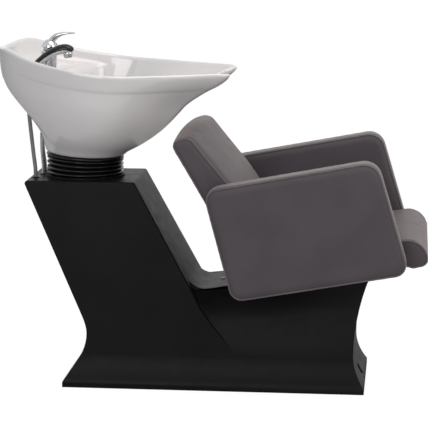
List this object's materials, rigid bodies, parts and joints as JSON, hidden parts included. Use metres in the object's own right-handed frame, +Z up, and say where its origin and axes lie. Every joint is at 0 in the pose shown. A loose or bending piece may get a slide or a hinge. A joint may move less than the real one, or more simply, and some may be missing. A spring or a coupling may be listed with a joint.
{
  "type": "backwash unit",
  "caption": "Salon backwash unit: black moulded base, tilting white basin with mixer and hand shower, reclined grey upholstered seat with panel arms.",
  "frame": {"origin": "centre of the base footprint at floor level, which is also the centre of the four floor anchor holes", "axes": "+X towards the sitter's knees, the basin lies at -X; +Y is the sitter's left; +Z up"},
  "size_m": [1.1813, 0.65, 0.9582],
  "materials": {
    "shell_black": "fine matte moulded texture",
    "leatherette": "soft grained leatherette, satin",
    "ceramic": "gloss white glaze",
    "chrome": "polished chrome",
    "steel": "powder coated steel",
    "zinc": "zinc plated fixings",
    "rubber": "black moulded rubber, slight sheen",
    "plywood": "plain birch plywood",
    "brass": "machined brass",
    "white_plastic": "moulded white plastic",
    "grey_plastic": "moulded grey plastic",
    "gloss_black": "polished black plastic",
    "hose_grey": "smooth dark grey hose",
    "hose_braid": "woven steel braid",
    "index_red": "red index cap"
  },
  "bodies": {
    "base": {"base_shell": "shell_black", "service_panel": "shell_black", "panel_screws": "zinc", "floor_frame": "steel", "levelling_feet": "rubber", "column_frame": "steel", "pedestal_frame": "steel", "seat_plate": "steel", "backrest_bolts": "zinc", "board_bolts": "zinc", "seat_bolts": "zinc", "shell_screw": "gloss_black", "hose_grommets": "rubber", "seat_board": "plywood", "seat_cushion": "leatherette", "backrest_board": "leatherette", "backrest_cushion": "leatherette", "backrest_brackets": "steel", "arm_core_left": "plywood", "arm_core_right": "plywood", "arm_pad_left": "leatherette", "arm_pad_right": "leatherette", "arm_brackets": "steel", "arm_screws": "zinc", "tilt_yoke": "steel", "yoke_bolts": "zinc", "tilt_pins": "zinc", "pin_nuts": "zinc", "friction_washers": "grey_plastic", "bellows_base_ring": "shell_black", "ring_screws": "zinc", "bellows": "rubber", "waste_pipe": "grey_plastic", "waste_hose": "grey_plastic", "shower_hose": "hose_grey", "cold_hose": "hose_braid", "hot_hose": "hose_braid", "supply_unions": "brass"},
    "tilting_basin": {"basin": "ceramic", "tilt_bracket": "steel", "bracket_bolts": "zinc", "bellows_top_ring": "rubber", "drain_flange": "chrome", "waste_nut": "brass", "waste_tail": "white_plastic", "mixer_base_ring": "chrome", "mixer_body": "chrome", "mixer_nut": "brass", "mixer_cartridge": "white_plastic", "shower_socket": "chrome", "socket_nut": "brass"},
    "mixer_handle": {"handle_ball": "chrome", "lever_pin": "zinc"},
    "lever": {"mixer_lever": "chrome", "index_button": "index_red"},
    "shower": {"hand_shower": "chrome", "shower_grip": "gloss_black", "spray_face": "grey_plastic"},
    "strainer": {"hair_strainer": "chrome"}
  },
  "joints": [
    {"name": "basin_tilt", "type": "hinge", "parent": "base", "child": "tilting_basin", "pos_m": [-0.37, 0, 0.588], "axis": [0, 1, 0], "range_deg": [-10, 6], "deforming": ["bellows", "waste_hose", "shower_hose", "cold_hose", "hot_hose"]},
    {"name": "mixer_swivel", "type": "hinge", "parent": "tilting_basin", "child": "mixer_handle", "pos_m": [-0.46672, 0, 0.91625], "axis": [0.0593, 0, 0.9982], "range_deg": [-45, 45]},
    {"name": "mixer_lift", "type": "hinge", "parent": "mixer_handle", "child": "lever", "pos_m": [-0.46672, 0, 0.91625], "axis": [0, -1, 0], "range_deg": [0, 25]},
    {"name": "hand_shower_pull", "type": "slide", "parent": "tilting_basin", "child": "shower", "axis": [0.6613, 0, 0.7501], "range_m": [0, 0.12], "deforming": ["shower_hose"]},
    {"name": "strainer_lift", "type": "slide", "parent": "tilting_basin", "child": "strainer", "axis": [0.0593, 0, 0.9982], "range_m": [0, 0.06]}
  ]
}
